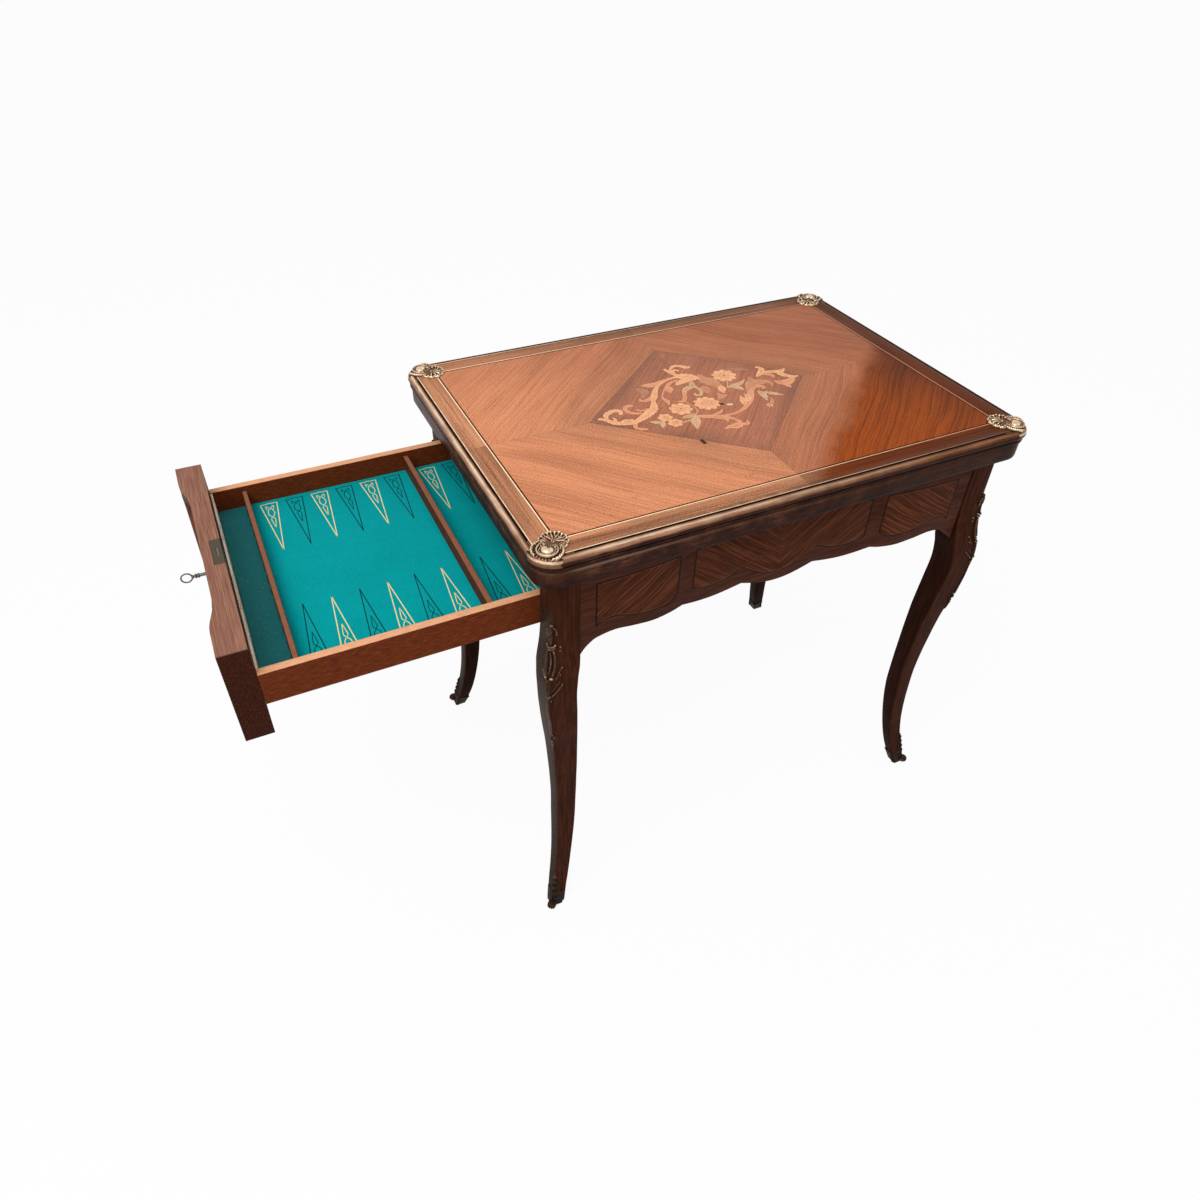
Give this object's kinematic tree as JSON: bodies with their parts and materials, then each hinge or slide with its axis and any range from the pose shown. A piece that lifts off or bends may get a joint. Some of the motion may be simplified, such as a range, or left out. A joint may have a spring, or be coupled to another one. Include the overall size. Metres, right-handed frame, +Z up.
{
  "type": "games table",
  "caption": "Cabriole-legged games table with a swivelling fold-over top, a backgammon drawer with a lock and key, and cast corner, knee and foot mounts.",
  "frame": {"origin": "middle of the part's bounding box at floor level, with the drawer open as pictured", "axes": "+X along the table's long side, away from the drawer's end; +Y towards the top's hinges; +Z up"},
  "size_m": [1.1728, 0.5586, 0.7635],
  "materials": {
    "top_veneer": "polished veneer, quarter matched",
    "dark_wood": "polished",
    "apron_veneer": "polished veneer",
    "drawer_wood": "satin",
    "light_wood": "satin",
    "front_veneer": "satin",
    "inner_wood": "plain",
    "baize": "wool cloth",
    "dark_felt": "wool cloth",
    "gilt_bronze": "cast and chased, worn",
    "brass": "satin",
    "steel": "satin"
  },
  "bodies": {
    "frame": {"leg_front_left": "dark_wood", "leg_front_right": "dark_wood", "leg_back_left": "dark_wood", "leg_back_right": "dark_wood", "knee_mount_front_left": "gilt_bronze", "knee_mount_front_right": "gilt_bronze", "knee_mount_back_left": "gilt_bronze", "knee_mount_back_right": "gilt_bronze", "sabot_front_left": "gilt_bronze", "sabot_front_right": "gilt_bronze", "sabot_back_left": "gilt_bronze", "sabot_back_right": "gilt_bronze", "corner_block_front_left": "inner_wood", "corner_block_front_right": "inner_wood", "corner_block_back_left": "inner_wood", "corner_block_back_right": "inner_wood", "apron_front": "apron_veneer", "apron_back": "apron_veneer", "apron_right": "apron_veneer", "rail_over_drawer": "dark_wood", "rail_under_drawer": "inner_wood", "well_end": "inner_wood", "well_floor": "inner_wood", "pivot_board": "inner_wood", "pivot_washer": "brass", "drawer_runner_front": "inner_wood", "drawer_runner_back": "inner_wood"},
    "top_lower": {"lower_leaf": "dark_wood", "lower_baize": "baize", "pivot_bolt": "steel", "pivot_nut": "steel", "swivel_stop_peg": "inner_wood", "hinge_lower_left": "brass", "hinge_lower_right": "brass", "hinge_pin_left": "steel", "hinge_pin_right": "steel"},
    "top_upper": {"upper_leaf": "top_veneer", "upper_baize": "baize", "hinge_upper_left": "brass", "hinge_upper_right": "brass", "corner_mount_front_left": "gilt_bronze", "corner_mount_front_right": "gilt_bronze", "corner_mount_back_left": "gilt_bronze", "corner_mount_back_right": "gilt_bronze"},
    "drawer": {"drawer_front": "front_veneer", "drawer_side_front": "drawer_wood", "drawer_side_back": "drawer_wood", "drawer_back": "drawer_wood", "drawer_bottom": "inner_wood", "drawer_lining": "light_wood", "drawer_divider": "drawer_wood", "board_bar": "drawer_wood", "felt_pieces": "dark_felt", "felt_board": "baize", "lock_case": "brass", "escutcheon": "brass"},
    "lock_bolt": {"lock_bolt": "steel"},
    "key": {"key": "steel"}
  },
  "joints": [
    {"name": "top_swivel", "type": "hinge", "parent": "frame", "child": "top_lower", "pos_m": [0.32996, 0.13721, 0.713], "axis": [0, 0, 1], "range_deg": [0, 90]},
    {"name": "top_fold", "type": "hinge", "parent": "top_lower", "child": "top_upper", "pos_m": [0.19146, 0.27586, 0.73815], "axis": [-1, 0, 0], "range_deg": [0, 180]},
    {"name": "drawer_slide", "type": "slide", "parent": "frame", "child": "drawer", "axis": [-1, 0, 0], "range_m": [-0.39, 0.07]},
    {"name": "key_turn", "type": "hinge", "parent": "drawer", "child": "key", "pos_m": [-0.56854, -0.01329, 0.672], "axis": [1, 0, 0], "range_deg": [0, 180]},
    {"name": "lock_bolt_slide", "type": "slide", "parent": "drawer", "child": "lock_bolt", "axis": [0, 0, 1], "range_m": [0, 0.008]}
  ],
  "couplings": [
    {"joint": "key_turn", "follows": "lock_bolt_slide", "rad_per_m": 392}
  ]
}
